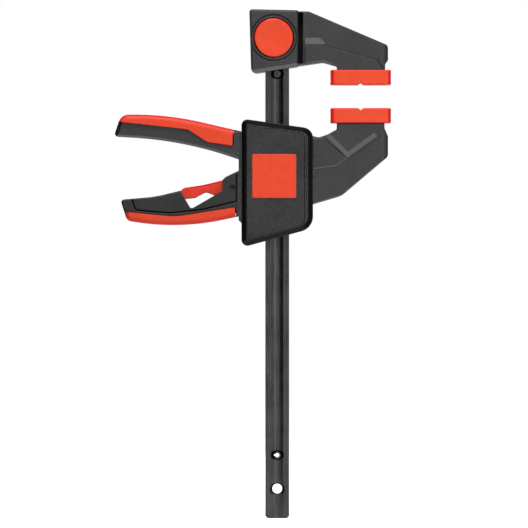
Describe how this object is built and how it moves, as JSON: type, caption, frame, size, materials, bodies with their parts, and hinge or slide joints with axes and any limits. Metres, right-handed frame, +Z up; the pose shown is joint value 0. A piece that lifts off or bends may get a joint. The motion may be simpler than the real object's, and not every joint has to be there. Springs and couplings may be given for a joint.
{
  "type": "quick release bar clamp",
  "caption": "One-handed bar clamp: fixed jaw locked on a grooved steel rail, moving jaw with a squeeze trigger and release lever, red pads and grips.",
  "frame": {"origin": "centre of the fixed (upper) pad's clamping face", "axes": "+Z up along the rail, from the moving jaw to the fixed jaw; +X from the rail to the pads; the front with the button and the badge faces -Y"},
  "size_m": [0.2316, 0.0368, 0.4269],
  "materials": {
    "black_steel": "black oxide, semi-gloss",
    "pin_steel": "dark spring steel",
    "black_plastic": "fine-grained glass-filled nylon",
    "red_plastic": "satin red-orange",
    "red_pad": "soft red-orange plastic",
    "red_grip": "soft-touch red-orange",
    "zinc_steel": "zinc plated",
    "spring_steel": "drawn wire",
    "guide_plastic": "natural acetal"
  },
  "bodies": {
    "rail_and_head": {"rail": "black_steel", "upper_stop_pin": "pin_steel", "lower_stop_pin": "pin_steel", "fixed_jaw": "black_plastic", "fixed_pad": "red_pad", "head_cover": "black_plastic", "head_cover_screws": "zinc_steel", "lock_spring": "spring_steel"},
    "head_lock": {"lock_button": "red_plastic", "lock_yoke": "zinc_steel", "yoke_screws": "zinc_steel"},
    "moving_jaw": {"jaw_body": "black_plastic", "front_cover": "black_plastic", "badge_plate": "red_plastic", "handle_grip": "red_grip", "moving_pad": "red_pad", "upper_rail_guide": "guide_plastic", "lower_rail_guide": "guide_plastic", "trigger_pin": "zinc_steel", "brake_pin": "zinc_steel", "cover_screws": "zinc_steel", "drive_spring": "spring_steel", "brake_spring": "spring_steel"},
    "trigger": {"trigger": "black_plastic", "trigger_grip": "red_grip", "release_pin": "black_steel"},
    "release_lever": {"release_lever": "red_plastic"},
    "drive_plates": {"drive_plate_1": "zinc_steel", "drive_plate_2": "zinc_steel"},
    "brake_plate": {"brake_plate": "zinc_steel"}
  },
  "joints": [
    {"name": "head_lock_push", "type": "slide", "parent": "rail_and_head", "child": "head_lock", "axis": [0, 1, 0], "range_m": [0, 0.004], "stiffness_N_per_m": 1500, "springref_m": -0.004, "deforming": ["lock_spring"]},
    {"name": "jaw_slide", "type": "slide", "parent": "rail_and_head", "child": "moving_jaw", "axis": [0, 0, 1], "range_m": [-0.178, 0.0194]},
    {"name": "trigger_squeeze", "type": "hinge", "parent": "moving_jaw", "child": "trigger", "pos_m": [-0.092, 0, -0.077], "axis": [0, 1, 0], "range_deg": [0, 22], "stiffness_Nm_per_rad": 0.8, "springref_deg": -5.73},
    {"name": "release_press", "type": "hinge", "parent": "trigger", "child": "release_lever", "pos_m": [-0.1074, 0, -0.0854], "axis": [0, -1, 0], "range_deg": [0, 5], "stiffness_Nm_per_rad": 0.4, "springref_deg": -17.19},
    {"name": "drive_plates_slide", "type": "slide", "parent": "moving_jaw", "child": "drive_plates", "axis": [0, 0, -1], "range_m": [0, 0.0032], "deforming": ["drive_spring"]},
    {"name": "brake_plate_rock", "type": "hinge", "parent": "moving_jaw", "child": "brake_plate", "pos_m": [-0.0915, 0, -0.106], "axis": [0, 1, 0], "range_deg": [0, 5.2], "deforming": ["brake_spring"]}
  ],
  "couplings": [
    {"joint": "drive_plates_slide", "follows": "trigger_squeeze", "m_per_rad": 0.008},
    {"joint": "brake_plate_rock", "follows": "release_press", "ratio": 1.02}
  ]
}
